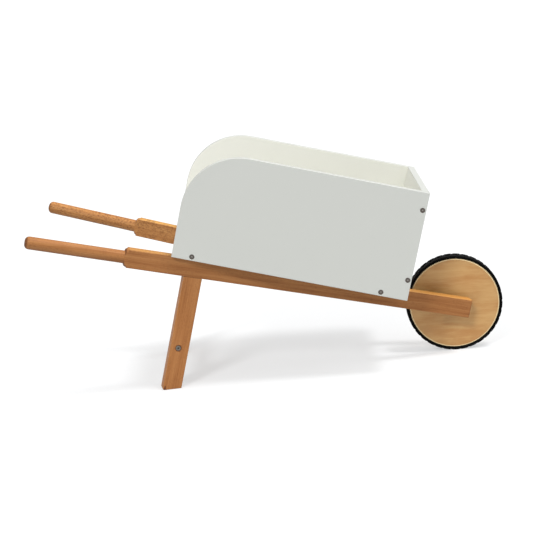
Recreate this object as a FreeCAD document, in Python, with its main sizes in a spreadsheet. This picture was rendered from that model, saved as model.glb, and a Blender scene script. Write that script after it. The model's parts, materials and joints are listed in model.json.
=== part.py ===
import FreeCAD, Part
import math
import os
import Sketcher

# A child's toy wheelbarrow, in millimetres.
#
# The tray, the shafts and the legs are laid out square to each other in a tray frame: u runs forward along the
# underside of the tray, w runs to the left and v runs up, square to the tray's floor, with the origin at the rear
# lower edge of the tray on the centre plane. The whole of it then leans forward by tilt_deg, because it stands on its
# legs and its wheel. In the part's own frame +X is forward, +Y is left, +Z is up, the ground is Z = 0, and the origin
# is midway between the ends of the handles and the front of the tyre.

os.makedirs("parts", exist_ok=True)
doc = FreeCAD.newDocument("toy_wheelbarrow")
V = FreeCAD.Vector
Rot = FreeCAD.Rotation
Pl = FreeCAD.Placement

# ---------------------------------------------------------------- driving dimensions
TABLE = [
    ("tray_length", 380),
    ("tray_width", 280),
    ("tray_tall", 176),
    ("board_thick", 12),
    ("tray_corner_radius", 94),
    ("board_edge_radius", 1),
    ("floor_screw_inset", 32),
    ("front_screw_low", 33),
    ("front_screw_high", 147),
    ("stock_tall", 30),
    ("stock_thick", 21),
    ("stock_edge_radius", 1.2),
    ("shaft_splay_deg", 10.4),
    ("shaft_rear_spacing", 131.3),
    ("shaft_rear", 232),
    ("shaft_front", 505),
    ("shoulder_back", 74.5),
    ("shoulder_round", 4.75),
    ("shoulder_flare", 2),
    ("shoulder_flare_rise", 0.3),
    ("grip_radius", 10.25),
    ("grip_end_round", 7),
    ("leg_start", 23.5),
    ("leg_wide", 30),
    ("foot_round", 3),
    ("leg_screw_along", 36.5),
    ("leg_screw_down", 148),
    ("crossbar_radius", 10),
    ("crossbar_along", 33),
    ("dowel_radius", 4),
    ("dowel_length", 36),
    ("dowel_apart", 14),
    ("screw_core_radius", 2),
    ("screw_head_radius", 4),
    ("screw_head_rim", 0.2),
    ("screw_tip", 5),
    ("socket_flats", 2.5),
    ("socket_deep", 1.5),
    ("panel_screw_length", 40),
    ("crossbar_screw_length", 45),
    ("shaft_screw_length", 35),
    ("screw_sink", 0.3),
    ("leg_screw_sink", 1),
    ("shaft_screw_rear", 60),
    ("shaft_screw_front", 320),
    ("bore_gap", 0.05),
    ("tilt_deg", 15.25),
    ("axle_along", 475),
    ("axle_below", 15.5),
    ("axle_radius", 4),
    ("axle_half_length", 35),
    ("disc_radius", 75),
    ("disc_thick", 20),
    ("disc_edge_chamfer", 1),
    ("tyre_radius", 80),
    ("tyre_wide", 24),
    ("tyre_shoulder", 2.5),
    ("tread_deep", 1.3),
    ("tread_slot_wide", 3.6),
    ("tread_centre_groove", 3),
    ("tread_count", 34),
    ("hub_radius", 6),
    ("hub_flange_radius", 9),
    ("hub_flange_thick", 2),
    ("running_gap", 0.06),
    ("spacer_radius", 8),
    ("spacer_seat", 24.3),
    ("side_play", 0.4),
]
sheet = doc.addObject("Spreadsheet::Sheet", "Dims")
for row, (alias, value) in enumerate(TABLE, start=1):
    sheet.set("A%d" % row, alias.replace("_", " "))
    sheet.set("B%d" % row, str(value))
    sheet.setAlias("B%d" % row, alias)
doc.recompute()


class Q:
    """A size together with the sheet expression that drives it."""

    def __init__(self, val, txt=None):
        self.val = float(val)
        self.txt = txt if txt is not None else repr(float(val))

    def _op(self, other, sign, swap=False):
        a, b = (q(other), self) if swap else (self, q(other))
        out = {"+": lambda: a.val + b.val, "-": lambda: a.val - b.val, "*": lambda: a.val * b.val, "/": lambda: a.val / b.val}[sign]()
        return Q(out, "(%s %s %s)" % (a.txt, sign, b.txt))

    def __add__(self, o): return self._op(o, "+")
    def __radd__(self, o): return self._op(o, "+", True)
    def __sub__(self, o): return self._op(o, "-")
    def __rsub__(self, o): return self._op(o, "-", True)
    def __mul__(self, o): return self._op(o, "*")
    def __rmul__(self, o): return self._op(o, "*", True)
    def __truediv__(self, o): return self._op(o, "/")
    def __neg__(self): return self._op(-1, "*")


def q(x):
    return x if isinstance(x, Q) else Q(x)


def qcos(a):
    return Q(math.cos(math.radians(a.val)), "cos(%s)" % a.txt)


def qsin(a):
    return Q(math.sin(math.radians(a.val)), "sin(%s)" % a.txt)


def qtan(a):
    return Q(math.tan(math.radians(a.val)), "tan(%s)" % a.txt)


D = {alias: Q(sheet.get(alias), "Dims." + alias) for alias, value in TABLE}
BOUND = []  # every bound size, compared with its own arithmetic after the recompute


def bind(obj, prop, size):
    size = q(size)
    setattr(obj, prop, size.val)
    obj.setExpression(prop, size.txt)
    BOUND.append((obj, prop, size.val))


# ---------------------------------------------------------------- sketch and feature helpers
def new_body(label):
    body = doc.addObject("PartDesign::Body", label)
    body.Label = label
    return body


def sketch(body, name, role, offset=0, shift_y=0):
    """An empty sketch on one of the body's origin planes, moved along the plane's normal by offset."""
    sk = body.newObject("Sketcher::SketchObject", name)
    sk.AttachmentSupport = ([f for f in body.Origin.OriginFeatures if f.Role == role][0], [""])
    sk.MapMode = "FlatFace"
    off, up = q(offset), q(shift_y)
    sk.AttachmentOffset = Pl(V(0, up.val, off.val), Rot())
    sk.setExpression("AttachmentOffset.Base.z", off.txt)
    sk.setExpression("AttachmentOffset.Base.y", up.txt)
    return sk


def place_point(sk, geo, vertex, x, y, tag):
    for kind, axis, size in (("DistanceX", -2, x), ("DistanceY", -1, y)):
        size = q(size)
        if abs(size.val) < 1e-9:
            sk.addConstraint(Sketcher.Constraint("PointOnObject", geo, vertex, axis))
            continue
        con = sk.addConstraint(Sketcher.Constraint(kind, -1, 1, geo, vertex, size.val))
        name = "%s_%s" % (tag, kind[-1].lower())
        sk.renameConstraint(con, name)
        sk.setExpression("Constraints." + name, size.txt)


def outline(sk, points, arcs=None, tag="p"):
    """A closed outline through points. arcs: edge number -> (centre x, centre y, radius, counter-clockwise)."""
    arcs = arcs or {}
    count = len(points)
    edges = []
    for i in range(count):
        a = V(q(points[i][0]).val, q(points[i][1]).val, 0)
        b = V(q(points[(i + 1) % count][0]).val, q(points[(i + 1) % count][1]).val, 0)
        if i in arcs:
            cx, cy, radius, ccw = arcs[i]
            centre = V(q(cx).val, q(cy).val, 0)
            start = math.atan2(a.y - centre.y, a.x - centre.x)
            end = math.atan2(b.y - centre.y, b.x - centre.x)
            if not ccw:
                start, end = end, start
            if end < start:
                end += 2 * math.pi
            geo = sk.addGeometry(Part.ArcOfCircle(Part.Circle(centre, V(0, 0, 1), q(radius).val), start, end))
            edges.append((geo, 1, 2) if ccw else (geo, 2, 1))
        else:
            edges.append((sk.addGeometry(Part.LineSegment(a, b)), 1, 2))
    for i in range(count):
        nxt = edges[(i + 1) % count]
        sk.addConstraint(Sketcher.Constraint("Coincident", edges[i][0], edges[i][2], nxt[0], nxt[1]))
    for i in range(count):
        place_point(sk, edges[i][0], edges[i][1], points[i][0], points[i][1], "%s%d" % (tag, i))
    for i, (cx, cy, radius, ccw) in arcs.items():
        con = sk.addConstraint(Sketcher.Constraint("Radius", edges[i][0], q(radius).val))
        sk.renameConstraint(con, "%s%d_r" % (tag, i))
        sk.setExpression("Constraints.%s%d_r" % (tag, i), q(radius).txt)


def rectangle(sk, x0, y0, x1, y1, tag="p"):
    outline(sk, [(x0, y0), (x1, y0), (x1, y1), (x0, y1)], tag=tag)


def circles(sk, centres, radius, tag="c"):
    for i, (x, y) in enumerate(centres):
        geo = sk.addGeometry(Part.Circle(V(q(x).val, q(y).val, 0), V(0, 0, 1), q(radius).val))
        if abs(q(x).val) < 1e-9 and abs(q(y).val) < 1e-9:
            sk.addConstraint(Sketcher.Constraint("Coincident", geo, 3, -1, 1))
        else:
            place_point(sk, geo, 3, x, y, "%s%d" % (tag, i))
        con = sk.addConstraint(Sketcher.Constraint("Radius", geo, q(radius).val))
        sk.renameConstraint(con, "%s%d_r" % (tag, i))
        sk.setExpression("Constraints.%s%d_r" % (tag, i), q(radius).txt)


def pad(body, sk, length, name="Pad", midplane=False, reverse=False):
    feature = body.newObject("PartDesign::Pad", name)
    feature.Profile = sk
    feature.Midplane = midplane
    feature.Reversed = reverse
    bind(feature, "Length", length)
    sk.Visibility = False
    doc.recompute()
    return feature


def pocket(body, sk, length, name="Pocket", midplane=False, reverse=False):
    """A pocket, which has to take material away."""
    before = body.Shape.Volume
    feature = body.newObject("PartDesign::Pocket", name)
    feature.Profile = sk
    feature.Midplane = midplane
    feature.Reversed = reverse
    bind(feature, "Length", length)
    doc.recompute()
    if body.Shape.Volume > before - 1e-3:
        raise RuntimeError("%s cut nothing from %s" % (name, body.Label))
    return feature


def bore(body, name, point, axis, radius, deep):
    """A drilled hole from point, along axis into the wood, given in the body's own frame."""
    before = body.Shape.Volume
    feature = body.newObject("PartDesign::SubtractiveCylinder", name)
    bind(feature, "Radius", radius)
    bind(feature, "Height", deep)
    feature.Placement = Pl(point, Rot(V(0, 0, 1), axis))
    doc.recompute()
    if body.Shape.Volume > before - 1e-3:
        raise RuntimeError("%s cut nothing from %s" % (name, body.Label))
    return feature


def drill(body, sk, name, through, sink, reverse=False):
    """Countersunk clearance holes at a sketch's circles."""
    doc.recompute()
    before = body.Shape.Volume
    hole = body.newObject("PartDesign::Hole", name)
    hole.Profile = sk
    doc.recompute()
    hole.ThreadType = "None"
    hole.Reversed = reverse
    hole.DepthType = "Dimension"
    hole.DrillPoint = "Flat"
    bind(hole, "Diameter", 2 * (D["screw_core_radius"] + D["bore_gap"]))
    bind(hole, "Depth", through)
    hole.HoleCutType = "Countersink"
    hole.HoleCutCustomValues = True
    # The countersink runs parallel to the head's cone, a little clear of it, from the rim's lower edge up to the face.
    bind(hole, "HoleCutDiameter", 2 * (D["screw_head_radius"] + D["bore_gap"] * 2 + D["screw_head_rim"] + sink))
    bind(hole, "HoleCutCountersinkAngle", 90)
    doc.recompute()
    if body.Shape.Volume > before - 1e-3:
        raise RuntimeError("%s cut nothing from %s" % (name, body.Label))
    return hole


def edges_where(shape, test):
    return ["Edge%d" % (i + 1) for i, edge in enumerate(shape.Edges) if test(edge)]


def along(edge, axis, length=0.0):
    """Whether an edge is a straight line along an axis, and at least so long."""
    if not isinstance(edge.Curve, Part.Line) or edge.Length < length:
        return False
    return abs(abs(edge.Curve.Direction.dot(axis)) - 1) < 1e-6


def soften(body, kind, name, edges, size):
    base = body.Tip
    feature = body.newObject("PartDesign::" + kind, name)
    feature.Base = (base, edges)
    bind(feature, "Radius" if kind == "Fillet" else "Size", size)
    doc.recompute()
    if not feature.isValid() or feature.Shape.isNull():
        raise RuntimeError("%s failed on %s" % (name, body.Label))
    return feature


X, Y, Z = V(1, 0, 0), V(0, 1, 0), V(0, 0, 1)

# ---------------------------------------------------------------- where the frames lie
length, width, tall, board = D["tray_length"], D["tray_width"], D["tray_tall"], D["board_thick"]
stock_t, stock_h = D["stock_thick"], D["stock_tall"]
splay, tilt = D["shaft_splay_deg"], D["tilt_deg"]
half = width / 2

sin_a, cos_a = math.sin(math.radians(tilt.val)), math.cos(math.radians(tilt.val))
sin_p, cos_p = math.sin(math.radians(splay.val)), math.cos(math.radians(splay.val))

# The wheel stands on the ground, which sets the height of the tray frame's origin.
z_origin = D["tyre_radius"].val + sin_a * D["axle_along"].val + cos_a * D["axle_below"].val
# The part's own origin is midway between the rearmost point of the handles' rounded ends and the tyre's front.
grip_s = cos_a * cos_p
rear = (
    -sin_a * stock_h.val / 2
    - (D["shaft_rear"].val - D["grip_end_round"].val) * grip_s
    - (D["grip_radius"].val - D["grip_end_round"].val) * math.sqrt(1 - grip_s**2)
    - D["grip_end_round"].val
)
front = cos_a * D["axle_along"].val - sin_a * D["axle_below"].val + D["tyre_radius"].val
x_origin = -(rear + front) / 2

LEAN = Pl(V(x_origin, 0, z_origin), Rot(Y, tilt.val))
WHEEL = Pl(V(x_origin + cos_a * D["axle_along"].val - sin_a * D["axle_below"].val, 0, D["tyre_radius"].val), Rot())


def bar_frame(side):
    """A shaft's own frame in the tray frame: x along the bar, y to the left, z up, at its top face on its centre line.
    side is -1 on the right and +1 on the left."""
    y0 = D["shaft_rear_spacing"].val - stock_t.val / 2 / cos_p
    return Pl(V(0, side * y0, 0), Rot(Z, -side * splay.val))


def screw_place(point, outward, frame=None):
    """A screw whose head's top lies at point and faces outward."""
    place = Pl(point, Rot(Z, outward))
    return frame.multiply(place) if frame is not None else place


ROW = []  # (document object, node name)

# ---------------------------------------------------------------- screws and dowels, one master each
def make_screw(label, long_):
    """A countersunk wood screw, its head's top at the origin and its tip down -Z."""
    body = new_body(label)
    sk = sketch(body, label + "_profile", "XZ_Plane")
    head, core, rim = D["screw_head_radius"], D["screw_core_radius"], D["screw_head_rim"]
    outline(
        sk,
        [(0, 0), (head, 0), (head, -rim), (core, -rim - (head - core)), (core, D["screw_tip"] - long_), (0, -long_)],
        tag="s",
    )
    turned = body.newObject("PartDesign::Revolution", label + "_turned")
    turned.Profile = sk
    turned.ReferenceAxis = (sk, ["V_Axis"])
    turned.Angle = 360
    doc.recompute()
    key = sketch(body, label + "_socket", "XY_Plane")
    across = D["socket_flats"] / math.sqrt(3)
    outline(key, [(across * math.cos(math.radians(60 * k)), across * math.sin(math.radians(60 * k))) for k in range(6)], tag="k")
    pocket(body, key, D["socket_deep"], label + "_key")
    return body


panel_screw = make_screw("panel_screw_master", D["panel_screw_length"])
crossbar_screw = make_screw("crossbar_screw_master", D["crossbar_screw_length"])
shaft_screw = make_screw("shaft_screw_master", D["shaft_screw_length"])

dowel = new_body("dowel_master")
sk = sketch(dowel, "dowel_section", "XY_Plane")
circles(sk, [(0, 0)], D["dowel_radius"])
pad(dowel, sk, D["dowel_length"], "dowel_pad", midplane=True)
soften(dowel, "Chamfer", "dowel_lead", edges_where(dowel.Shape, lambda e: isinstance(e.Curve, Part.Circle)), 1)


def add_group(label, master, places, lean=LEAN):
    """Identical fasteners: separate solids, copies of one master, in one sub-part."""
    solids = []
    for place in places:
        solid = master.Shape.Solids[0].copy()
        solid.Placement = place.multiply(solid.Placement)
        solids.append(solid)
    feature = doc.addObject("Part::Feature", label)
    feature.Label = label
    feature.Shape = Part.makeCompound(solids)
    feature.Placement = lean
    ROW.append((feature, label))
    return feature


# ---------------------------------------------------------------- the tray
screw_bore = D["screw_core_radius"] + D["bore_gap"]
grip_bore = D["panel_screw_length"] - board + 1  # how far a panel screw's bore goes into the next board's edge
floor_long = length - board
inset = D["floor_screw_inset"]
panel_holes = [
    (inset, board / 2),
    (floor_long - inset, board / 2),
    (length - board / 2, D["front_screw_low"]),
    (length - board / 2, D["front_screw_high"]),
]


def make_side_panel(label, side):
    """A side board. Its body's y = 0 is its outer face, and the rear upper corner is a large arc."""
    body = new_body(label)
    sk = sketch(body, label + "_outline", "XZ_Plane")
    rectangle(sk, 0, 0, length, tall)
    pad(body, sk, board, label + "_board", reverse=side < 0)
    corner = edges_where(body.Shape, lambda e: along(e, Y) and e.BoundBox.XMax < 1e-3 and e.BoundBox.ZMin > tall.val - 1e-3)
    soften(body, "Fillet", label + "_corner", corner, D["tray_corner_radius"])

    def outer(e):  # the whole outline of the outer face
        return abs(e.BoundBox.YMin) < 1e-3 and abs(e.BoundBox.YMax) < 1e-3

    def inner_open(e):  # the inner face's outline where no other board meets it
        y = -side * board.val
        flat = abs(e.BoundBox.YMin - y) < 1e-3 and abs(e.BoundBox.YMax - y) < 1e-3
        return flat and (e.BoundBox.ZMin > tall.val - D["tray_corner_radius"].val - 1e-3 or e.BoundBox.XMax < 1e-3) and e.BoundBox.XMin < length.val - 1

    soften(body, "Fillet", label + "_edges", edges_where(body.Shape, lambda e: outer(e) or inner_open(e)), D["board_edge_radius"])
    holes = sketch(body, label + "_screw_points", "XZ_Plane")
    circles(holes, panel_holes, screw_bore)
    drill(body, holes, label + "_screw_holes", board, D["screw_sink"], reverse=side > 0)
    body.Placement = LEAN.multiply(Pl(V(0, side * half.val, 0), Rot()))
    ROW.append((body, label))
    return body


make_side_panel("right_side_panel", -1)
make_side_panel("left_side_panel", 1)

inner = half - board
front_panel = new_body("front_panel")
sk = sketch(front_panel, "front_panel_outline", "YZ_Plane")
rectangle(sk, -inner, 0, inner, tall)
pad(front_panel, sk, board, "front_panel_board")
soften(
    front_panel,
    "Fillet",
    "front_panel_edges",
    edges_where(front_panel.Shape, lambda e: along(e, Y) and (e.BoundBox.ZMin > tall.val - 1e-3 or e.BoundBox.XMin > board.val - 1e-3)),
    D["board_edge_radius"],
)
for side in (-1, 1):
    for z in (D["front_screw_low"], D["front_screw_high"]):
        bore(front_panel, "front_bore_%d_%d" % (side + 1, int(z.val)), V(board.val / 2, side * (inner.val + 1), z.val), V(0, -side, 0), screw_bore, grip_bore + 1)
front_panel.Placement = LEAN.multiply(Pl(V(floor_long.val, 0, 0), Rot()))
ROW.append((front_panel, "front_panel"))

floor_panel = new_body("floor_panel")
sk = sketch(floor_panel, "floor_panel_outline", "XY_Plane")
rectangle(sk, 0, -inner, floor_long, inner)
pad(floor_panel, sk, board, "floor_panel_board")
soften(floor_panel, "Fillet", "floor_panel_rear_edges", edges_where(floor_panel.Shape, lambda e: along(e, Y) and e.BoundBox.XMax < 1e-3), D["board_edge_radius"])
for side in (-1, 1):
    for n, u in enumerate((inset, floor_long - inset)):
        bore(floor_panel, "floor_bore_%d_%d" % (side + 1, n), V(u.val, side * (inner.val + 1), board.val / 2), V(0, -side, 0), screw_bore, grip_bore + 1)
sk = sketch(floor_panel, "floor_screw_points", "XY_Plane", offset=board)
bar_y0 = D["shaft_rear_spacing"] - stock_t / 2 / qcos(splay)
floor_points = []
for s in (D["shaft_screw_rear"], D["shaft_screw_front"]):
    for side in (-1, 1):
        floor_points.append((s * qcos(splay), side * (bar_y0 - s * qsin(splay))))
circles(sk, floor_points, screw_bore)
drill(floor_panel, sk, "floor_screw_holes", board, D["screw_sink"])
floor_panel.Placement = LEAN
ROW.append((floor_panel, "floor_panel"))

# ---------------------------------------------------------------- shafts with turned handles
long_edge = 600


def make_shaft(label, side):
    """A bar of 30 x 21 stock. Its rear end is turned to a round handle, and the cutter leaves a rounded shoulder."""
    body = new_body(label)
    frame = bar_frame(side)
    sk = sketch(body, label + "_side", "XZ_Plane")
    rectangle(sk, -D["shaft_rear"], -stock_h, D["shaft_front"], 0)
    pad(body, sk, stock_t, label + "_bar", midplane=True)
    soften(body, "Fillet", label + "_edges", edges_where(body.Shape, lambda e: along(e, X, long_edge)), D["stock_edge_radius"])
    end = edges_where(body.Shape, lambda e: e.BoundBox.XMin > D["shaft_front"].val - 1e-3)
    soften(body, "Chamfer", label + "_front_end", end, 0.5)

    # The turned handle: everything outside its profile is turned away about the bar's centre line.
    sk = sketch(body, label + "_turning", "XZ_Plane", shift_y=-(stock_h / 2))
    tip, r, e = -D["shaft_rear"], D["grip_radius"], D["grip_end_round"]
    shoulder, run = -D["shoulder_back"], D["shoulder_round"]
    flare_r = r + D["shoulder_flare_rise"]
    outline(
        sk,
        [
            (tip - 10, 0),
            (tip, 0),
            (tip, r - e),
            (tip + e, r),
            (shoulder - D["shoulder_flare"], r),
            (shoulder, flare_r),
            (shoulder + run, flare_r + run),
            (shoulder + run, r + 20),
            (tip - 10, r + 20),
        ],
        arcs={2: (tip + e, r - e, e, False), 5: (shoulder + run, flare_r, run, False)},
        tag="t",
    )
    before = body.Shape.Volume
    turn = body.newObject("PartDesign::Groove", label + "_handle")
    turn.Profile = sk
    turn.ReferenceAxis = (sk, ["H_Axis"])
    turn.Angle = 360
    doc.recompute()
    if body.Shape.Volume > before - 1e3:
        raise RuntimeError("the handle of %s was not turned" % label)

    # Blind bore for the axle, with a flat seat for the spacer, square to the wheel and not to the bar.
    into = frame.inverse()
    start = V(D["axle_along"].val, side * 10, -D["axle_below"].val)
    direction = into.Rotation.multVec(V(0, side, 0))
    bore(body, label + "_spacer_seat", into.multVec(start), direction, D["spacer_radius"] + 0.3, D["spacer_seat"] - 10)
    bore(body, label + "_axle_bore", into.multVec(start), direction, D["axle_radius"] + D["bore_gap"], D["axle_half_length"] + 0.5 - 10)
    # Dowel holes under the leg, and pilot bores for the floor's screws.
    mid = D["leg_start"] + D["leg_wide"] / 2
    for n, step in enumerate((-0.5, 0.5)):
        at = V((mid + step * D["dowel_apart"]).val, 0, -stock_h.val - 1)
        bore(body, "%s_dowel_bore_%d" % (label, n), at, Z, D["dowel_radius"] + D["bore_gap"], D["dowel_length"] / 2 + 2)
    for n, s in enumerate((D["shaft_screw_rear"], D["shaft_screw_front"])):
        bore(body, "%s_screw_bore_%d" % (label, n), V(s.val, 0, 1), V(0, 0, -1), screw_bore, D["shaft_screw_length"] - board + 2)
    body.Placement = LEAN.multiply(frame)
    ROW.append((body, label))
    return body


make_shaft("right_shaft", -1)
make_shaft("left_shaft", 1)


# ---------------------------------------------------------------- legs and crossbar
def make_leg(label, side):
    """A leg of the same stock, flush under the shaft, cut off level with the ground."""
    body = new_body(label)
    frame = bar_frame(side)
    place = LEAN.multiply(frame)
    start, wide = D["leg_start"], D["leg_wide"]
    sk = sketch(body, label + "_side", "XZ_Plane")
    rectangle(sk, start, -stock_h - 215, start + wide, -stock_h)
    pad(body, sk, stock_t, label + "_bar", midplane=True)
    before = body.Shape.Volume
    saw = body.newObject("PartDesign::SubtractiveBox", label + "_foot_cut")
    saw.Length, saw.Width, saw.Height = 400, 400, 100
    ground = Pl(V(-300, -200, -100), Rot())
    saw.Placement = place.inverse().multiply(ground)
    doc.recompute()
    if body.Shape.Volume > before - 1e3:
        raise RuntimeError("the foot of %s was not cut" % label)

    def rear_foot(e):
        return e.BoundBox.XMax < start.val + 0.3 and e.BoundBox.ZMax < -stock_h.val - 150 and e.Length > 5 and e.BoundBox.ZLength < 3

    soften(body, "Fillet", label + "_foot_corner", edges_where(body.Shape, rear_foot), D["foot_round"])
    soften(body, "Fillet", label + "_edges", edges_where(body.Shape, lambda e: along(e, Z, 100)), D["stock_edge_radius"])
    mid = start + wide / 2
    for n, step in enumerate((-0.5, 0.5)):
        at = V((mid + step * D["dowel_apart"]).val, 0, -stock_h.val + 1)
        bore(body, "%s_dowel_bore_%d" % (label, n), at, V(0, 0, -1), D["dowel_radius"] + D["bore_gap"], D["dowel_length"] / 2 + 2)
    # The outer face is y = -10.5 on the right leg and y = +10.5 on the left one; an XZ sketch's normal is -Y.
    sk = sketch(body, label + "_screw_point", "XZ_Plane", offset=-side * stock_t / 2)
    circles(sk, [(D["leg_screw_along"], -D["leg_screw_down"])], screw_bore)
    drill(body, sk, label + "_screw_hole", stock_t, D["leg_screw_sink"], reverse=side > 0)
    body.Placement = place
    ROW.append((body, label))
    return body


make_leg("right_leg", -1)
make_leg("left_leg", 1)

crossbar = new_body("leg_crossbar")
sk = sketch(crossbar, "crossbar_section", "XZ_Plane")
circles(sk, [(0, 0)], D["crossbar_radius"])
pad(crossbar, sk, width - 40, "crossbar_rod", midplane=True)
sk = sketch(crossbar, "crossbar_end_cuts", "XY_Plane")
reach = 15
at_mid = D["shaft_rear_spacing"] - D["crossbar_along"] * qtan(splay) - stock_t / qcos(splay)
for side in (-1, 1):
    outline(
        sk,
        [
            (-reach, side * (at_mid + reach * qtan(splay))),
            (reach, side * (at_mid - reach * qtan(splay))),
            (reach, side * half),
            (-reach, side * half),
        ],
        tag="r" if side < 0 else "l",
    )
pocket(crossbar, sk, 60, "crossbar_ends", midplane=True)
crossbar_place = Pl(V(D["crossbar_along"].val, 0, -D["leg_screw_down"].val), Rot())
for side in (-1, 1):
    # The screw goes in square to the leg's outer face.
    frame = crossbar_place.inverse().multiply(bar_frame(side))
    at = frame.multVec(V(D["leg_screw_along"].val, -side * (stock_t.val / 2 - 4), -D["leg_screw_down"].val))
    bore(crossbar, "crossbar_bore_%d" % (side + 1), at, frame.Rotation.multVec(V(0, -side, 0)), screw_bore, D["crossbar_screw_length"] - stock_t + 4)
crossbar.Placement = LEAN.multiply(crossbar_place)
ROW.append((crossbar, "leg_crossbar"))

# ---------------------------------------------------------------- the wheel, its axle and what carries it
hub, flange, flange_t = D["hub_radius"], D["hub_flange_radius"], D["hub_flange_thick"]

disc = new_body("wheel_disc")
sk = sketch(disc, "disc_section", "XZ_Plane")
circles(sk, [(0, 0)], D["disc_radius"], "outer")
circles(sk, [(0, 0)], hub + 0.02, "bore")
pad(disc, sk, D["disc_thick"], "disc_plate", midplane=True)
soften(
    disc,
    "Chamfer",
    "disc_rim_chamfer",
    edges_where(disc.Shape, lambda e: isinstance(e.Curve, Part.Circle) and e.Curve.Radius > 50),
    D["disc_edge_chamfer"],
)
disc.Placement = WHEEL
ROW.append((disc, "wheel_disc"))

tyre = new_body("tyre")
sk = sketch(tyre, "tyre_section", "YZ_Plane")
tw, tr, ts, inner_r = D["tyre_wide"] / 2, D["tyre_radius"], D["tyre_shoulder"], D["disc_radius"] + 0.02
outline(
    sk,
    [(-tw, inner_r), (tw, inner_r), (tw, tr - ts), (tw - ts, tr), (-(tw - ts), tr), (-tw, tr - ts)],
    arcs={2: (tw - ts, tr - ts, ts, True), 4: (-(tw - ts), tr - ts, ts, True)},
    tag="y",
)
ring = tyre.newObject("PartDesign::Revolution", "tyre_ring")
ring.Profile = sk
ring.ReferenceAxis = (sk, ["H_Axis"])
ring.Angle = 360
doc.recompute()
# One groove round the middle of the tread.
before = tyre.Shape.Volume
sk = sketch(tyre, "tyre_centre_groove_section", "YZ_Plane")
cg = D["tread_centre_groove"] / 2
rectangle(sk, -cg, tr - D["tread_deep"], cg, tr + 1)
groove = tyre.newObject("PartDesign::Groove", "tyre_centre_groove")
groove.Profile = sk
groove.ReferenceAxis = (sk, ["H_Axis"])
groove.Angle = 360
doc.recompute()
if tyre.Shape.Volume > before - 100:
    raise RuntimeError("the tyre's centre groove was not cut")
# Cross slots, which make two staggered rows of blocks. A block of the right-hand row is at the very bottom.
pitch = 360.0 / D["tread_count"].val
patterns = []
for name, row_side, turn_deg in (("right", -1, pitch / 2), ("left", 1, 0.0)):
    before = tyre.Shape.Volume
    slot = tyre.newObject("PartDesign::SubtractiveBox", "tyre_slot_" + name)
    bind(slot, "Length", D["tread_slot_wide"])
    bind(slot, "Width", tw + 1)
    bind(slot, "Height", D["tread_deep"] + 3)
    local = Pl(V(-D["tread_slot_wide"].val / 2, 0 if row_side > 0 else -tw.val - 1, -tr.val - 3), Rot())
    slot.Placement = Pl(V(0, 0, 0), Rot(Y, turn_deg)).multiply(local)
    doc.recompute()
    if tyre.Shape.Volume > before - 1:
        raise RuntimeError("a tyre slot was not cut")
    pattern = tyre.newObject("PartDesign::PolarPattern", "tyre_slots_" + name)
    pattern.Originals = [slot]
    pattern.Axis = ([f for f in tyre.Origin.OriginFeatures if f.Role == "Y_Axis"][0], [""])
    pattern.Angle = 360
    pattern.Occurrences = int(D["tread_count"].val)
    pattern.setExpression("Occurrences", D["tread_count"].txt)
    tyre.Tip = pattern
    doc.recompute()
tyre.Placement = WHEEL
ROW.append((tyre, "tyre"))


def make_bush(label, side):
    """A flanged plastic bush, pressed into the disc from one side. The axle runs in it."""
    body = new_body(label)
    sk = sketch(body, label + "_section", "YZ_Plane")
    inside = D["axle_radius"] + D["running_gap"]
    face = D["disc_thick"] / 2
    pts = [(0.2, inside), (face + flange_t, inside), (face + flange_t, flange), (face, flange), (face, hub), (0.2, hub)]
    outline(sk, [(side * q(a), b) for a, b in pts], tag="b")
    turned = body.newObject("PartDesign::Revolution", label + "_turned")
    turned.Profile = sk
    turned.ReferenceAxis = (sk, ["H_Axis"])
    turned.Angle = 360
    doc.recompute()
    body.Placement = WHEEL
    ROW.append((body, label))
    return body


make_bush("right_hub_bush", -1)
make_bush("left_hub_bush", 1)


def make_spacer(label, side):
    """A plain spacer on the axle, from its seat in the shaft to just short of the bush's flange."""
    body = new_body(label)
    start = D["disc_thick"] / 2 + flange_t + D["side_play"]
    sk = sketch(body, label + "_section", "XZ_Plane", offset=-side * start)
    circles(sk, [(0, 0)], D["spacer_radius"], "outer")
    circles(sk, [(0, 0)], D["axle_radius"] + 0.15, "bore")
    pad(body, sk, D["spacer_seat"] - 0.1 - start, label + "_ring", reverse=side > 0)
    body.Placement = WHEEL
    ROW.append((body, label))
    return body


make_spacer("right_spacer", -1)
make_spacer("left_spacer", 1)

axle = new_body("axle")
sk = sketch(axle, "axle_section", "XZ_Plane")
circles(sk, [(0, 0)], D["axle_radius"])
pad(axle, sk, 2 * D["axle_half_length"], "axle_rod", midplane=True)
soften(axle, "Chamfer", "axle_ends", edges_where(axle.Shape, lambda e: isinstance(e.Curve, Part.Circle)), 0.5)
axle.Placement = WHEEL
ROW.append((axle, "axle"))

# ---------------------------------------------------------------- fasteners in place
for side, name in ((-1, "right"), (1, "left")):
    out = V(0, side, 0)
    face = side * (half.val - D["screw_sink"].val)
    add_group(name + "_panel_screws", panel_screw, [screw_place(V(q(u).val, face, q(v).val), out) for u, v in panel_holes])
    frame = bar_frame(side)
    head = V(D["leg_screw_along"].val, side * (stock_t.val / 2 - D["leg_screw_sink"].val), -D["leg_screw_down"].val)
    add_group(name + "_crossbar_screw", crossbar_screw, [screw_place(head, out, frame)])
    mid = (D["leg_start"] + D["leg_wide"] / 2).val
    add_group(
        name + "_leg_dowels",
        dowel,
        [frame.multiply(Pl(V(mid + step * D["dowel_apart"].val, 0, -stock_h.val), Rot())) for step in (-0.5, 0.5)],
    )
add_group("floor_screws", shaft_screw, [screw_place(V(u.val, w.val, board.val - D["screw_sink"].val), Z) for u, w in floor_points])

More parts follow.
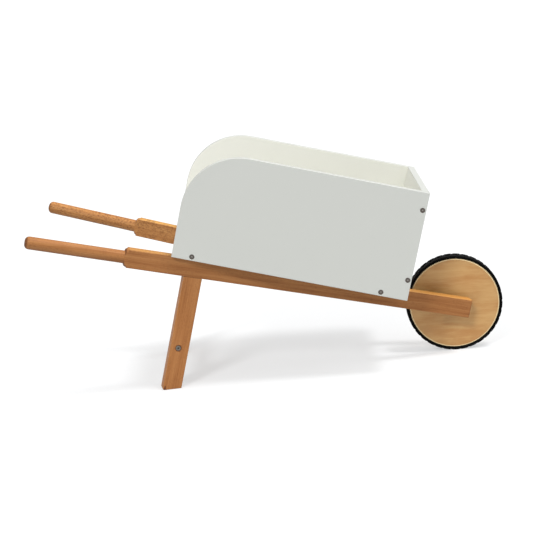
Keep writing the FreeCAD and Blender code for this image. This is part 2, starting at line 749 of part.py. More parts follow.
# ---------------------------------------------------------------- checks on the document, then the STEP files
doc.recompute()
bad = []
for obj in doc.Objects:
    if "Invalid" in obj.State or "Error" in obj.State:
        bad.append("%s: %s" % (obj.Label, obj.State))
    if obj.TypeId == "Sketcher::SketchObject" and not obj.FullyConstrained:
        bad.append("%s is not fully constrained" % obj.Label)
for obj, prop, value in BOUND:
    got = getattr(obj, prop)
    got = float(got.Value) if hasattr(got, "Value") else float(got)
    if abs(got - value) > 1e-6:
        bad.append("%s.%s is %s, not %s" % (obj.Label, prop, got, value))
for obj, node in ROW:
    shape = obj.Shape
    if obj.Label != node:
        bad.append("%s has the label %s" % (node, obj.Label))
    if shape.isNull() or not shape.isValid() or not shape.Solids or shape.Volume <= 0:
        bad.append("%s has no valid solid" % node)
if bad:
    raise RuntimeError("; ".join(bad))

whole = FreeCAD.BoundBox()
for obj, node in ROW:
    box = obj.Shape.optimalBoundingBox(True, False)
    whole.add(box)
    print("%-24s %2d solid(s) %10.1f mm3  x %8.2f %8.2f  y %8.2f %8.2f  z %8.2f %8.2f" % (node, len(obj.Shape.Solids), obj.Shape.Volume, box.XMin, box.XMax, box.YMin, box.YMax, box.ZMin, box.ZMax))
    obj.Shape.exportStep("parts/%s.step" % node)
print("nodes:", len(ROW))
print("whole: x %.3f %.3f  y %.3f %.3f  z %.3f %.3f" % (whole.XMin, whole.XMax, whole.YMin, whole.YMax, whole.ZMin, whole.ZMax))
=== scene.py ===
import bmesh
import bpy
import json
import math
import random
from mathutils import Matrix, Vector


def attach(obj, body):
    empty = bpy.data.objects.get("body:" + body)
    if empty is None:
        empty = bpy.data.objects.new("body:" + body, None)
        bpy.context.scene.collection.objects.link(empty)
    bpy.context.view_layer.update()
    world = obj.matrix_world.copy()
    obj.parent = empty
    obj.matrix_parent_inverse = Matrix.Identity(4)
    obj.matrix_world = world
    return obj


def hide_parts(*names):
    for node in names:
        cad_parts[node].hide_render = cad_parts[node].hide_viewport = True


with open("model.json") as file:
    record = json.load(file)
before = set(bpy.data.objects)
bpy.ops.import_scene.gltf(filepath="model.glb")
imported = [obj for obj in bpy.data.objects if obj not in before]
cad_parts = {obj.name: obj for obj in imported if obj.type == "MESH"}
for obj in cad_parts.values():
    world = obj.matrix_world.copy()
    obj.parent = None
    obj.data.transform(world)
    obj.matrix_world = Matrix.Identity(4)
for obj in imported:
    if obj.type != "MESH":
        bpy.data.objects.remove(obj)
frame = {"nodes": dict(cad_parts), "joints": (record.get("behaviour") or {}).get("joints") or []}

scene = bpy.context.scene
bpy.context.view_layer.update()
nodes = frame["nodes"]
random.seed(401)

# ---------------------------------------------------------------- the frames of the design, in millimetres
TILT, SPLAY = math.radians(15.25), math.radians(10.4)
sa, ca, sp, cp = math.sin(TILT), math.cos(TILT), math.sin(SPLAY), math.cos(SPLAY)
spin = [j for j in frame["joints"] if j["name"] == "wheel_spin"][0]
HUB = Vector(spin["pos_m"]) * 1000.0
# The tray's own axes in the row frame, and its origin, the rear lower edge on the centre plane.
U, W_, V_ = Vector((ca, 0, -sa)), Vector((0, 1, 0)), Vector((sa, 0, ca))
TRAY0 = HUB - U * 475.0 + V_ * 15.5


def bar_axes(side):
    """Origin and axes (along, to the left, up) of a shaft, and of the leg under it."""
    y0 = 131.3 - 10.5 / cp
    along = U * cp - W_ * (side * sp)
    across = U * (side * sp) + W_ * cp
    return TRAY0 + W_ * (side * y0), along, across, V_.copy()


# ---------------------------------------------------------------- node helper
class Graph:
    def __init__(self, name):
        self.mat = bpy.data.materials.new(name)
        self.mat.use_nodes = True
        self.tree = self.mat.node_tree
        self.tree.nodes.clear()
        self.out = self.tree.nodes.new("ShaderNodeOutputMaterial")
        self.bsdf = self.tree.nodes.new("ShaderNodeBsdfPrincipled")
        self.tree.links.new(self.bsdf.outputs[0], self.out.inputs["Surface"])

    def put(self, socket, value):
        if isinstance(value, bpy.types.NodeSocket):
            self.tree.links.new(value, socket)
        elif value is not None:
            socket.default_value = value

    def new(self, kind, **props):
        node = self.tree.nodes.new(kind)
        for key, value in props.items():
            setattr(node, key, value)
        return node

    def math(self, op, a, b=None, c=None, clamp=False):
        n = self.new("ShaderNodeMath", operation=op, use_clamp=clamp)
        for socket, value in zip(n.inputs, (a, b, c)):
            self.put(socket, value)
        return n.outputs[0]

    def vmath(self, op, a, b=None):
        n = self.new("ShaderNodeVectorMath", operation=op)
        self.put(n.inputs[0], a)
        if b is not None:
            if op == "SCALE":
                self.put(n.inputs["Scale"], b)
            else:
                self.put(n.inputs[1], b)
        return n.outputs["Value"] if op in ("DOT_PRODUCT", "LENGTH", "DISTANCE") else n.outputs["Vector"]

    def combine(self, x, y, z):
        n = self.new("ShaderNodeCombineXYZ")
        for socket, value in zip(n.inputs, (x, y, z)):
            self.put(socket, value)
        return n.outputs[0]

    def noise(self, vector, scale=1.0, detail=2.0, rough=0.5, distort=0.0):
        n = self.new("ShaderNodeTexNoise")
        self.put(n.inputs["Vector"], vector)
        n.inputs["Scale"].default_value = scale
        n.inputs["Detail"].default_value = detail
        n.inputs["Roughness"].default_value = rough
        n.inputs["Distortion"].default_value = distort
        return n.outputs["Fac"]

    def voronoi(self, vector, scale=1.0, feature="F1", randomness=1.0, out="Distance"):
        n = self.new("ShaderNodeTexVoronoi", feature=feature)
        self.put(n.inputs["Vector"], vector)
        n.inputs["Scale"].default_value = scale
        n.inputs["Randomness"].default_value = randomness
        return n.outputs[out]

    def remap(self, value, lo, hi, to_lo=0.0, to_hi=1.0, smooth=True):
        n = self.new("ShaderNodeMapRange", interpolation_type="SMOOTHSTEP" if smooth else "LINEAR")
        self.put(n.inputs["Value"], value)
        n.inputs["From Min"].default_value = lo
        n.inputs["From Max"].default_value = hi
        n.inputs["To Min"].default_value = to_lo
        n.inputs["To Max"].default_value = to_hi
        return n.outputs["Result"]

    def ramp(self, fac, stops, mode="LINEAR"):
        n = self.new("ShaderNodeValToRGB")
        n.color_ramp.interpolation = mode
        while len(n.color_ramp.elements) < len(stops):
            n.color_ramp.elements.new(0.5)
        for element, (pos, col) in zip(n.color_ramp.elements, stops):
            element.position = pos
            element.color = (*col, 1.0)
        self.put(n.inputs["Fac"], fac)
        return n.outputs["Color"]

    def mix(self, fac, a, b, mode="MIX"):
        n = self.new("ShaderNodeMix", data_type="RGBA", blend_type=mode)
        self.put(n.inputs[0], fac)
        self.put(n.inputs[6], a if isinstance(a, bpy.types.NodeSocket) else (*a, 1.0))
        self.put(n.inputs[7], b if isinstance(b, bpy.types.NodeSocket) else (*b, 1.0))
        return n.outputs[2]

    def bump(self, height, strength, distance):
        n = self.new("ShaderNodeBump")
        n.inputs["Strength"].default_value = strength
        n.inputs["Distance"].default_value = distance
        self.put(n.inputs["Height"], height)
        return n.outputs[0]

    def position(self):
        """Object coordinates in millimetres."""
        return self.vmath("SCALE", self.new("ShaderNodeTexCoord").outputs["Object"], 1000.0)

    def local(self, origin, axes):
        """The three coordinates along a piece's own axes, in millimetres."""
        shifted = self.vmath("SUBTRACT", self.position(), tuple(origin))
        return [self.vmath("DOT_PRODUCT", shifted, tuple(axis)) for axis in axes]

    def finish(self, colour, rough, normal=None, metallic=0.0, specular=0.5, coat=0.0, coat_rough=0.1):
        b = self.bsdf.inputs
        self.put(b["Base Color"], colour if isinstance(colour, bpy.types.NodeSocket) else (*colour, 1.0))
        self.put(b["Roughness"], rough)
        if normal is not None:
            self.put(b["Normal"], normal)
        b["Metallic"].default_value = metallic
        b["Specular IOR Level"].default_value = specular
        b["Coat Weight"].default_value = coat
        b["Coat Roughness"].default_value = coat_rough
        return self.mat


# ---------------------------------------------------------------- wood
def beech(name, origin, axes, seed, ray_deg=0.0, tone=1.0, half=None, shade_and_mark_spots=None, fleck=0.5, contrast=1.0, painted_top_light=False, painted_underside_shade=False, tint=None):
    """Oiled beech. axes: along the grain, then the two across it. ray_deg turns the rays' direction in the section:
    at 0 they run along the second axis, so faces square to it show them end on, as short dashes."""
    g = Graph(name)
    s, t, v = g.local(origin, axes)
    c, d = math.cos(math.radians(ray_deg)), math.sin(math.radians(ray_deg))
    radial = g.math("ADD", g.math("MULTIPLY", t, c), g.math("MULTIPLY", v, d))
    tangent = g.math("SUBTRACT", g.math("MULTIPLY", v, c), g.math("MULTIPLY", t, d))
    shift = Vector((seed * 17.3, seed * 7.9, seed * 3.1))

    def stretched(ks, kr, kt):
        return g.vmath("ADD", g.combine(g.math("MULTIPLY", s, ks), g.math("MULTIPLY", radial, kr), g.math("MULTIPLY", tangent, kt)), tuple(shift))

    sway = g.noise(stretched(0.006, 0.03, 0.03), 1.0, 2.0)
    # Growth rings: shells about a pith well outside the bar, swaying along its length.
    rings_at = g.math("ADD", g.math("MULTIPLY", radial, 0.33), g.math("MULTIPLY", sway, 9.0))
    rings_at = g.math("ADD", rings_at, g.math("MULTIPLY", g.math("MULTIPLY", tangent, tangent), 0.0025))
    ring = g.math("FRACT", g.math("ADD", rings_at, seed * 0.37))
    ring = g.math("POWER", ring, 2.2)
    fibre = g.noise(stretched(0.018, 1.3, 1.3), 1.0, 4.0, 0.6)
    coarse = g.noise(stretched(0.007, 0.16, 0.16), 1.0, 3.0, 0.55)
    blotch = g.noise(stretched(0.012, 0.03, 0.03), 1.0, 2.0)
    tone_at = g.math("ADD", g.math("MULTIPLY", g.math("SUBTRACT", fibre, 0.5), 0.85), g.math("MULTIPLY", g.math("SUBTRACT", coarse, 0.5), 0.95))
    tone_at = g.math("ADD", tone_at, g.math("MULTIPLY", g.math("SUBTRACT", blotch, 0.5), 0.42))
    lines = g.noise(stretched(0.010, 0.50, 0.50), 1.0, 2.0, 0.5)
    tone_at = g.math("ADD", tone_at, g.math("MULTIPLY", g.math("SUBTRACT", lines, 0.5), 0.60))
    tone_at = g.math("ADD", tone_at, g.math("MULTIPLY", ring, -0.13))
    tone_at = g.math("ADD", g.math("MULTIPLY", tone_at, contrast), 0.53)
    k = tone
    colour = g.ramp(
        tone_at,
        [
            (0.0, (0.262 * k, 0.086 * k, 0.022 * k)),
            (0.35, (0.362 * k, 0.140 * k, 0.041 * k)),
            (0.55, (0.425 * k, 0.177 * k, 0.056 * k)),
            (0.8, (0.488 * k, 0.217 * k, 0.074 * k)),
            (1.0, (0.56 * k, 0.268 * k, 0.100 * k)),
        ],
    )
    # Rays: thin ribbons that stand in the radial direction. Seen end on they are short dashes, seen flat they are flakes.
    bend = g.math("MULTIPLY", g.noise(stretched(0.05, 0.2, 0.2), 1.0, 2.0), 1.6)
    cells = g.voronoi(g.vmath("ADD", stretched(0.21, 0.05, 0.56), g.combine(0.0, 0.0, bend)), 1.0)
    thin = g.noise(stretched(0.05, 0.09, 0.09), 1.0, 2.0)
    dash = g.remap(cells, 0.20, 0.50, 1.0, 0.0)
    dash = g.math("MULTIPLY", dash, g.remap(thin, 0.36, 0.56, 0.15, 1.0))
    if fleck > 0.5:  # seen flat, the flakes wander and break up
        wander = g.noise(g.vmath("ADD", stretched(0.17, 0.20, 0.36), g.combine(3.1, 7.7, 1.3)), 1.0, 1.0, 0.4)
        flake = g.remap(g.math("ABSOLUTE", g.math("SUBTRACT", wander, 0.5)), 0.018, 0.060, 1.0, 0.0)
        gate = g.remap(g.noise(stretched(0.11, 0.20, 0.24), 1.0, 2.0), 0.40, 0.54)
        dash = g.math("MAXIMUM", g.math("MULTIPLY", dash, 0.75), g.math("MULTIPLY", flake, g.math("MULTIPLY", gate, 0.60)))
    colour = g.mix(g.math("MULTIPLY", dash, fleck), colour, (0.13 * k, 0.040 * k, 0.012 * k))
    # Pores: very fine, short, along the grain.
    pores = g.noise(stretched(0.35, 6.5, 6.5), 1.0, 2.0, 0.5)
    pore = g.remap(pores, 0.60, 0.74)
    colour = g.mix(g.math("MULTIPLY", pore, 0.22), colour, (0.20 * k, 0.065 * k, 0.02 * k))
    # End grain drinks more oil and comes out darker.
    facing = g.math("ABSOLUTE", g.vmath("DOT_PRODUCT", g.new("ShaderNodeTexCoord").outputs["Normal"], tuple(axes[0])))
    end_tone = g.mix(g.noise(stretched(0.4, 0.9, 0.9), 1.0, 3.0), (0.120 * k, 0.037 * k, 0.010 * k), (0.24 * k, 0.088 * k, 0.026 * k))
    colour = g.mix(g.remap(facing, 0.22, 0.75, 0.0, 0.92), colour, end_tone)
    if painted_top_light:  # painted highlight: the stock's upper face is painted lighter and yellower, standing in for the light from above
        up_facing = g.vmath("DOT_PRODUCT", g.new("ShaderNodeTexCoord").outputs["Normal"], tuple(axes[2]))
        top_light_colour = g.vmath("MULTIPLY", colour, (1.44, 1.64, 1.26))
        colour = g.mix(g.math("MULTIPLY", g.remap(up_facing, 0.72, 0.99), g.remap(s, -72.0, -66.0)), colour, top_light_colour)
    if tint is not None:
        colour = g.vmath("MULTIPLY", colour, tint)
    if painted_underside_shade:  # painted shade: the underside is painted darker and the faces that look up a little lighter, standing in for how the light falls
        level = g.vmath("DOT_PRODUCT", g.new("ShaderNodeTexCoord").outputs["Normal"], tuple(axes[2]))
        shade = g.math("MULTIPLY", g.remap(level, -0.95, 0.15, 0.74, 1.0, smooth=False), g.remap(level, 0.35, 0.9, 0.94, 1.12))
        colour = g.vmath("SCALE", colour, shade)
    if half is not None:  # sanded corners are a little lighter, where the oil took less
        (t_mid, t_half), (v_mid, v_half) = half
        et = g.remap(g.math("ABSOLUTE", g.math("SUBTRACT", t, t_mid)), t_half - 1.5, t_half - 0.2)
        ev = g.remap(g.math("ABSOLUTE", g.math("SUBTRACT", v, v_mid)), v_half - 1.5, v_half - 0.2)
        corner = g.math("MULTIPLY", et, ev)
        rub = g.remap(g.noise(stretched(0.03, 0.3, 0.3), 1.0, 3.0), 0.35, 0.65, 0.25, 1.0)
        colour = g.mix(g.math("MULTIPLY", g.math("MULTIPLY", corner, rub), 0.30), colour, (0.62 * k, 0.31 * k, 0.11 * k))
    # Dark spots over the grain: painted shade round a screw's countersink, and real dark marks.
    if shade_and_mark_spots is not None:
        for centre, size in shade_and_mark_spots:
            off = g.vmath("SUBTRACT", g.combine(s, t, v), centre)
            wobble = g.math("MULTIPLY", g.math("SUBTRACT", g.noise(stretched(0.4, 0.9, 0.9), 1.0, 2.0), 0.5), 0.9)
            far = g.math("ADD", g.vmath("LENGTH", g.vmath("MULTIPLY", off, tuple(1.0 / x for x in size))), wobble)
            colour = g.mix(g.remap(far, 0.55, 1.1, 0.85, 0.0), colour, (0.07, 0.018, 0.008))
    height = g.math("ADD", g.math("MULTIPLY", fibre, 0.6), g.math("MULTIPLY", pore, -0.5))
    height = g.math("ADD", height, g.math("MULTIPLY", dash, -0.15))
    rough = g.math("ADD", g.remap(fibre, 0.3, 0.7, 0.46, 0.57), g.math("MULTIPLY", pore, 0.08))
    return g.finish(colour, rough, g.bump(height, 0.28, 0.00012), specular=0.18)


def plywood(name):
    """Birch plywood: a broad, quiet face grain, a pale rim and the plies on its edge. The rim's paleness is partly the
    sanded edge and partly a painted highlight.
    """
    g = Graph(name)
    x, y, z = g.local(HUB, (Vector((1, 0, 0)), Vector((0, 1, 0)), Vector((0, 0, 1))))
    radius = g.math("SQRT", g.math("ADD", g.math("MULTIPLY", x, x), g.math("MULTIPLY", z, z)))
    # The grain runs a few degrees off level and each face has its own veneer.
    turn = math.radians(-1.0)
    along = g.math("ADD", g.math("MULTIPLY", x, math.cos(turn)), g.math("MULTIPLY", z, math.sin(turn)))
    across = g.math("SUBTRACT", g.math("MULTIPLY", z, math.cos(turn)), g.math("MULTIPLY", x, math.sin(turn)))
    face = g.math("MULTIPLY", g.math("SIGN", y), 31.0)

    def at(ka, kc):
        return g.combine(g.math("MULTIPLY", along, ka), g.math("MULTIPLY", across, kc), face)

    flame = g.noise(at(0.016, 0.045), 1.0, 2.5, 0.5, 0.1)
    band = g.noise(at(0.020, 0.115), 1.0, 3.0, 0.55)
    streak = g.noise(at(0.022, 0.85), 1.0, 3.0, 0.6)
    fine = g.noise(at(0.12, 4.5), 1.0, 2.0)
    tone = g.math("ADD", g.math("MULTIPLY", g.math("SUBTRACT", flame, 0.5), 0.95), g.math("MULTIPLY", g.math("SUBTRACT", band, 0.5), 0.80))
    tone = g.math("ADD", tone, g.math("MULTIPLY", g.math("SUBTRACT", streak, 0.5), 0.42))
    tone = g.math("ADD", tone, g.math("MULTIPLY", g.math("SUBTRACT", fine, 0.5), 0.14))
    tone = g.math("ADD", tone, 0.5)
    colour = g.ramp(
        tone,
        [
            (0.0, (0.352, 0.142, 0.036)),
            (0.3, (0.410, 0.203, 0.062)),
            (0.5, (0.460, 0.258, 0.091)),
            (0.72, (0.498, 0.296, 0.113)),
            (1.0, (0.545, 0.346, 0.150)),
        ],
    )
    # A browner streak runs across the lower part of the veneer, darker towards the bottom.
    lower_streak = g.math("MULTIPLY", g.remap(across, -24.0, -48.0), g.remap(g.noise(at(0.030, 0.13), 1.0, 3.0, 0.6), 0.38, 0.60))
    colour = g.mix(g.math("MULTIPLY", lower_streak, 0.62), colour, (0.385, 0.185, 0.058))
    speck = g.remap(g.voronoi(at(0.16, 0.9), 1.0), 0.04, 0.16, 1.0, 0.0)
    speck = g.math("MULTIPLY", speck, g.remap(band, 0.45, 0.7))
    colour = g.mix(g.math("MULTIPLY", speck, 0.50), colour, (0.31, 0.145, 0.05))
    # Pale rim: partly the sanded edge, partly a painted highlight for the rounded edge catching the light.
    rim = g.remap(radius, 72.8, 73.5)
    colour = g.mix(g.math("MULTIPLY", rim, 0.85), colour, (0.86, 0.69, 0.40))
    # Plies on the cylindrical edge and in the bore.
    ply = g.math("FRACT", g.math("MULTIPLY", g.math("ADD", y, 10.0), 1 / 2.9))
    dark_ply = g.remap(g.math("ABSOLUTE", g.math("SUBTRACT", ply, 0.5)), 0.20, 0.28)
    colour = g.mix(g.math("MULTIPLY", dark_ply, g.math("MULTIPLY", g.remap(radius, 74.55, 74.9), 0.75)), colour, (0.28, 0.145, 0.06))
    rough = g.remap(streak, 0.3, 0.7, 0.36, 0.46)
    height = g.math("ADD", g.math("MULTIPLY", streak, 0.5), g.math("MULTIPLY", fine, 0.5))
    return g.finish(colour, rough, g.bump(height, 0.16, 0.0001), specular=0.4, coat=0.06, coat_rough=0.3)


# ---------------------------------------------------------------- paint, rubber, metal, plastic
def paint(name, seed, inner, painted_top_highlight=True, outer=(0.472, 0.481, 0.453), inside=(0.722, 0.722, 0.660)):
    """Off-white satin paint, rolled on: a faint mottle, a fine orange peel and a few handling marks.
    inner: (origin, direction, distance): faces beyond that distance along that direction are inside the tray,
    where a paler, creamier copy of the coat paints in the light that bounces around inside the tray; the outer copy is
    the darker, shaded one."""
    g = Graph(name)
    p = g.vmath("ADD", g.position(), (seed * 31.0, seed * 11.0, seed * 5.0))
    cloud = g.noise(p, 0.012, 3.0, 0.5)
    mottle = g.noise(p, 0.22, 3.0, 0.6)
    k = g.math("ADD", g.math("MULTIPLY", g.math("SUBTRACT", cloud, 0.5), 0.10), g.math("MULTIPLY", g.math("SUBTRACT", mottle, 0.5), 0.07))
    k = g.math("ADD", k, 0.5)

    def coat(base):
        lo, hi = tuple(x * 0.94 for x in base), tuple(x * 1.06 for x in base)
        return g.ramp(k, [(0.0, lo), (1.0, hi)])

    origin, direction, level = inner
    along = g.vmath("DOT_PRODUCT", g.vmath("SUBTRACT", g.position(), tuple(origin)), tuple(direction))
    # Inside faces take the paler, creamier copy: painted bounce light; outside faces take the darker, shaded copy.
    colour = g.mix(g.remap(along, level - 0.25, level + 0.05), coat(outer), coat(inside))
    # Painted highlight: the faces that look up, the rounded top edges among them, are painted a little paler, standing
    # in for the light from above.
    upward = g.vmath("DOT_PRODUCT", g.new("ShaderNodeTexCoord").outputs["Normal"], tuple(V_))
    colour = g.mix(g.remap(upward, 0.55, 0.95, 0.0, 0.55 if painted_top_highlight else 0.0), colour, coat(tuple(x * 1.24 for x in outer)))
    scuff = g.noise(g.vmath("MULTIPLY", p, (0.05, 0.05, 0.6)), 1.0, 4.0, 0.7)
    mark = g.remap(scuff, 0.70, 0.80)
    colour = g.mix(g.math("MULTIPLY", mark, 0.10), colour, (0.40, 0.39, 0.36))
    peel = g.noise(p, 0.75, 2.0, 0.5)
    rough = g.math("ADD", g.remap(mottle, 0.3, 0.7, 0.46, 0.54), g.math("MULTIPLY", mark, 0.08))
    return g.finish(colour, rough, g.bump(peel, 0.10, 0.00015), specular=0.3)


def rubber(name):
    """Moulded black rubber; the tread's high parts are painted a little lighter, partly as dust and partly as a painted
    sheen.
    """
    g = Graph(name)
    x, y, z = g.local(HUB, (Vector((1, 0, 0)), Vector((0, 1, 0)), Vector((0, 0, 1))))
    radius = g.math("SQRT", g.math("ADD", g.math("MULTIPLY", x, x), g.math("MULTIPLY", z, z)))
    p = g.position()
    grime = g.noise(p, 0.12, 4.0, 0.6)
    grain = g.noise(p, 1.6, 3.0, 0.6)
    colour = g.ramp(g.math("ADD", g.math("MULTIPLY", grime, 0.6), g.math("MULTIPLY", grain, 0.4)), [(0.25, (0.0008, 0.0008, 0.0008)), (0.75, (0.0020, 0.0020, 0.0019))])
    # Tread tops: a little lighter, partly dust and partly painted sheen.
    dust_and_sheen = g.math("MULTIPLY", g.remap(radius, 79.2, 79.9), g.remap(grime, 0.4, 0.65))
    colour = g.mix(g.math("MULTIPLY", dust_and_sheen, 0.4), colour, (0.020, 0.0195, 0.0185))
    rough = g.math("ADD", g.remap(grime, 0.3, 0.7, 0.40, 0.58), g.math("MULTIPLY", dust_and_sheen, 0.12))
    return g.finish(colour, rough, g.bump(grain, 0.30, 0.00015), specular=0.04)


def metal(name, colour_a, colour_b, rough=0.35, metallic=1.0, deep=None):
    """Plated steel with a fine mottle. deep: (origin, axis, distance, colour): nearer to the origin than that distance
    along the axis, either way, is the floor of the key's socket, which takes that colour; on the leg screws it is
    painted shade."""
    g = Graph(name)
    p = g.position()
    spot = g.noise(p, 1.2, 4.0, 0.6)
    colour = g.ramp(spot, [(0.3, colour_a), (0.7, colour_b)])
    if deep is not None:
        origin, axis, level, inner = deep
        depth = g.math("ABSOLUTE", g.vmath("DOT_PRODUCT", g.vmath("SUBTRACT", p, tuple(origin)), tuple(axis)))
        colour = g.mix(g.remap(depth, level - 0.15, level + 0.05, 0.9, 0.0), colour, inner)
    fine = g.noise(g.vmath("MULTIPLY", p, (6.0, 0.8, 6.0)), 1.0, 2.0)
    return g.finish(colour, g.remap(spot, 0.3, 0.7, rough - 0.06, rough + 0.08), g.bump(fine, 0.12, 0.00005), metallic=metallic, specular=0.5)


def plastic(name):
    g = Graph(name)
    p = g.position()
    cloud = g.noise(p, 0.3, 3.0, 0.5)
    colour = g.ramp(cloud, [(0.3, (0.66, 0.65, 0.60)), (0.7, (0.76, 0.75, 0.70))])
    return g.finish(colour, g.remap(cloud, 0.3, 0.7, 0.38, 0.48), g.bump(g.noise(p, 2.5, 2.0), 0.1, 0.0001), specular=0.45)


def dress(node, material):
    data = nodes[node].data
    data.materials.clear()
    data.materials.append(material)


# The inner face of each board, by its distance along the direction it looks in.
dress("right_side_panel", paint("paint_right_side", 1.0, (TRAY0, W_, -128.0)))
dress("left_side_panel", paint("paint_left_side", 2.0, (TRAY0, -W_, -128.0)))
dress("front_panel", paint("paint_front", 3.0, (TRAY0, -U, -368.0)))
dress("floor_panel", paint("paint_floor", 4.0, (TRAY0, V_, 12.0), painted_top_highlight=False))
for side, name in ((-1, "right"), (1, "left")):
    origin, along, across, up = bar_axes(side)
    # The right shaft is sawn nearly on the quarter and the left one flat, so its sides show the rays end on, as flecks.
    ray, fleck = (62.0, 0.14) if side < 0 else (6.0, 0.85)
    dress(name + "_shaft", beech("beech_%s_shaft" % name, origin, (along, across, up), 1.0 if side < 0 else 2.3, ray, tone=0.775 if side < 0 else 1.0, half=((0, 10.5), (-15, 15)), fleck=fleck, painted_top_light=True, painted_underside_shade=True, tint=(1.0, 1.0, 1.0) if side < 0 else (0.96, 1.04, 1.04)))
    # On a leg the grain runs down.
    # The first spot is painted shade in the countersink round the crossbar screw; the right leg's second spot is a real
    # dark mark.
    spot = [((148.0, side * 10.5, 36.5), (6.2, 30.0, 6.2))] + ([((217.0, -10.5, 26.8), (4.6, 4.0, 1.7))] if side < 0 else [])
    dress(name + "_leg", beech("beech_%s_leg" % name, origin, (-up, across, along), 3.7 if side < 0 else 5.1, 15.0, tone=0.83, half=((0, 10.5), (38.5, 15)), shade_and_mark_spots=spot, fleck=0.2, contrast=0.72))
    dress(name + "_leg_dowels", beech("beech_%s_dowels" % name, origin, (-up, across, along), 7.7, 40.0, tone=0.85))
dress("leg_crossbar", beech("beech_crossbar", TRAY0, (W_, U, V_), 6.2, 30.0, tone=0.78))
dress("wheel_disc", plywood("birch_plywood"))
dress("axle", metal("axle_steel", (0.52, 0.52, 0.53), (0.62, 0.62, 0.62), 0.28))
for name in ("right_hub_bush", "left_hub_bush", "right_spacer", "left_spacer"):
    dress(name, plastic("nylon_" + name))
panel_screw = metal("dark_screw", (0.10, 0.085, 0.075), (0.16, 0.14, 0.125), 0.42, deep=((0, 0, 0), (0, 1, 0), 138.9, (0.42, 0.40, 0.38)))
floor_screw = metal("floor_screw", (0.10, 0.085, 0.075), (0.16, 0.14, 0.125), 0.42)
for name in ("right_panel_screws", "left_panel_screws"):
    dress(name, panel_screw)
dress("floor_screws", floor_screw)
for side, name in ((-1, "right"), (1, "left")):
    origin, along, across, up = bar_axes(side)
    # The leg screws' socket floor is painted near black: painted shade in the recess.
    dress(name + "_crossbar_screw", metal("leg_screw_" + name, (0.13, 0.115, 0.10), (0.23, 0.21, 0.185), 0.40, deep=(origin, across, 9.2, (0.05, 0.045, 0.042))))


# ---------------------------------------------------------------- the tyre, with its moulded tread
def smooth(x, lo, hi):
    k = min(1.0, max(0.0, (x - lo) / (hi - lo)))
    return k * k * (3 - 2 * k)


def build_tyre():
    """A closed ring: bead, sidewalls, rounded shoulders and two staggered rows of slanted tread blocks."""
    count, steps = 34, 18
    ring = count * steps
    half, top, deep = 11.95, 80.25, 1.35
    # Section stations across the tread, from the right shoulder to the left one, closer together at the grooves.
    stations = [-half + 0.12, -11.5, -10.9, -10.1, -8.8, -7.2, -5.5, -3.9, -2.7, -2.1, -1.65, -1.2, -0.6]
    stations = stations + [0.0] + [-x for x in reversed(stations)]
    mesh = bmesh.new()
    rows = []
    pitch = 2 * math.pi / count
    for i in range(ring):
        angle = 2 * math.pi * i / ring
        loop = []
        for w in stations:
            side = -1 if w < 0 else 1
            crown = 0.35 * (abs(w) / half) ** 2
            r = top - crown
            edge = half - abs(w)
            if edge < 1.9:  # rounded shoulder
                q = 1 - edge / 1.9
                r -= 1.5 * (1 - math.sqrt(max(0.0, 1 - q * q)))
            lean = math.radians(1.4) * (abs(w) / half)
            # A block of the right-hand row is at the very bottom of the tyre.
            phase = (angle + lean + (0.0 if side > 0 else pitch / 2)) / pitch
            from_slot = abs(phase - round(phase)) * pitch * 80.0
            slot = 1 - smooth(from_slot, 1.0, 2.3)
            centre = 1 - smooth(abs(w), 0.9, 2.0)
            r -= deep * max(slot * (0.45 + 0.55 * smooth(edge, 1.0, 4.5)), centre)
            loop.append(mesh.verts.new(((HUB.x + r * math.sin(angle)) / 1000, (HUB.y + w) / 1000, (HUB.z - r * math.cos(angle)) / 1000)))
        # Left sidewall down to the bead, across the inside, and up the right sidewall.
        for w, r in ((half, 77.9), (half - 0.15, 77.2), (half - 0.65, 76.3), (half - 1.35, 75.5), (half - 2.1, 75.08), (6.0, 75.05), (0.0, 75.05), (-6.0, 75.05), (-half + 2.1, 75.08), (-half + 1.35, 75.5), (-half + 0.65, 76.3), (-half + 0.15, 77.2), (-half, 77.9)):
            loop.append(mesh.verts.new(((HUB.x + r * math.sin(angle)) / 1000, (HUB.y + w) / 1000, (HUB.z - r * math.cos(angle)) / 1000)))
        rows.append(loop)
    for i in range(ring):
        a, b = rows[i], rows[(i + 1) % ring]
        for k in range(len(a)):
            n = (k + 1) % len(a)
            mesh.faces.new((a[k], a[n], b[n], b[k]))
    bmesh.ops.recalc_face_normals(mesh, faces=mesh.faces)
    data = bpy.data.meshes.new("tyre_tread")
    mesh.to_mesh(data)
    mesh.free()
    for face in data.polygons:
        face.use_smooth = True
    piece = bpy.data.objects.new("tyre_tread", data)
    scene.collection.objects.link(piece)
    data.materials.append(rubber("tyre_rubber"))
    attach(piece, "wheel")
    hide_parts("tyre")
    return piece


build_tyre()

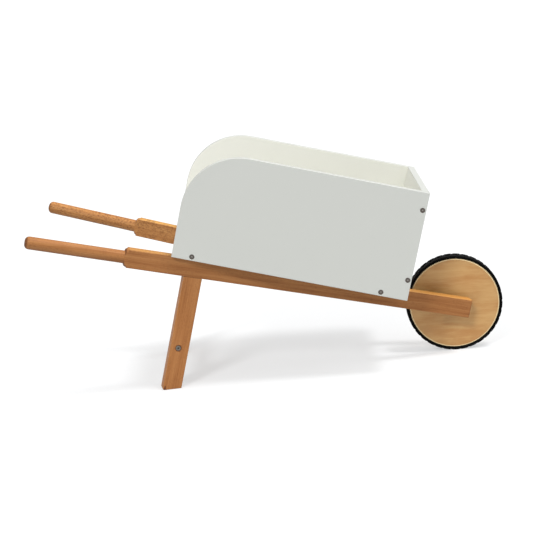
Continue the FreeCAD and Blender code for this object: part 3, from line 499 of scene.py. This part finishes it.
# ---------------------------------------------------------------- floor, light and camera
def build_floor():
    data = bpy.data.meshes.new("studio_floor")
    mesh = bmesh.new()
    rings, spokes, size = (0.0, 0.6, 1.5, 4.0, 12.0, 60.0), 48, 1.0
    centre = mesh.verts.new((0, 0, 0))
    last = None
    for r in rings[1:]:
        loop = [mesh.verts.new((r * math.cos(2 * math.pi * k / spokes), r * math.sin(2 * math.pi * k / spokes), 0)) for k in range(spokes)]
        for k in range(spokes):
            n = (k + 1) % spokes
            if last is None:
                mesh.faces.new((centre, loop[k], loop[n]))
            else:
                mesh.faces.new((last[k], loop[k], loop[n], last[n]))
        last = loop
    mesh.to_mesh(data)
    mesh.free()
    floor = bpy.data.objects.new("studio_floor", data)
    scene.collection.objects.link(floor)
    mat = bpy.data.materials.new("studio_floor")
    mat.use_nodes = True
    tree = mat.node_tree
    tree.nodes.clear()
    out = tree.nodes.new("ShaderNodeOutputMaterial")
    glow = tree.nodes.new("ShaderNodeEmission")
    glow.inputs["Color"].default_value = (1, 1, 1, 1)
    glow.inputs["Strength"].default_value = FLOOR_GLOW
    matte = tree.nodes.new("ShaderNodeBsdfDiffuse")
    matte.inputs["Color"].default_value = (FLOOR_WHITE * 0.985, FLOOR_WHITE, FLOOR_WHITE * 1.015, 1)
    add = tree.nodes.new("ShaderNodeAddShader")
    tree.links.new(glow.outputs[0], add.inputs[0])
    tree.links.new(matte.outputs[0], add.inputs[1])
    tree.links.new(add.outputs[0], out.inputs["Surface"])
    data.materials.append(mat)


FLOOR_GLOW, FLOOR_WHITE = 0.515, 0.38
build_floor()

# A pale room, brighter overhead: strength rises from SKY_LOW at the horizon by SKY_RISE at the zenith.
SKY_LOW, SKY_RISE = 0.3, 0.62
world = bpy.data.worlds.new("studio")
world.use_nodes = True
sky = world.node_tree
direction = sky.nodes.new("ShaderNodeTexCoord")
parts = sky.nodes.new("ShaderNodeSeparateXYZ")
sky.links.new(direction.outputs["Generated"], parts.inputs[0])
rise = sky.nodes.new("ShaderNodeMapRange")
rise.inputs["From Min"].default_value, rise.inputs["From Max"].default_value = 0.0, 1.0
rise.inputs["To Min"].default_value, rise.inputs["To Max"].default_value = SKY_LOW, SKY_LOW + SKY_RISE
sky.links.new(parts.outputs["Z"], rise.inputs["Value"])
sky.links.new(rise.outputs["Result"], sky.nodes["Background"].inputs["Strength"])
sky.nodes["Background"].inputs["Color"].default_value = (1.0, 1.0, 1.0, 1.0)
scene.world = world


def sun(name, back, strength, angle, colour=(1, 1, 1)):
    """A soft, even light that comes from the direction back: +X the wheel's end, -Y the right-hand side, +Z up.
    On a surface square to it, a strength of 1 adds 1."""
    data = bpy.data.lights.new(name, "SUN")
    data.energy = strength * math.pi
    data.angle = math.radians(angle)
    data.color = colour
    obj = bpy.data.objects.new(name, data)
    obj.rotation_mode = "QUATERNION"
    obj.rotation_quaternion = Vector(back).to_track_quat("Z", "Y")
    scene.collection.objects.link(obj)


sun("overhead_light", (0.40, -0.17, 1.0), 0.5, 14)
sun("front_light", (-0.36, -0.90, 0.75), 0.47, 14)
sun("wheel_end_light", (0.9, 0.0, 0.62), 0.28, 50)

scene.view_settings.view_transform = "Standard"
scene.view_settings.look = "None"

cam_data = bpy.data.cameras.new("camera")
cam_data.sensor_width = 36.0
cam_data.lens = 1705.068 * 36.0 / 533.0
cam_data.clip_start, cam_data.clip_end = 0.05, 200.0
cam = bpy.data.objects.new("camera", cam_data)
scene.collection.objects.link(cam)
rot = Matrix(((0.9970584, 0.075933, 0.0104268), (-0.0053857, 0.2051127, -0.9787235), (-0.0764561, 0.9757884, 0.2049183)))
cam.matrix_world = Matrix.Translation((HUB.x / 1000 - 0.277571, -2.771357, 0.743977)) @ rot.to_4x4()
scene.camera = cam
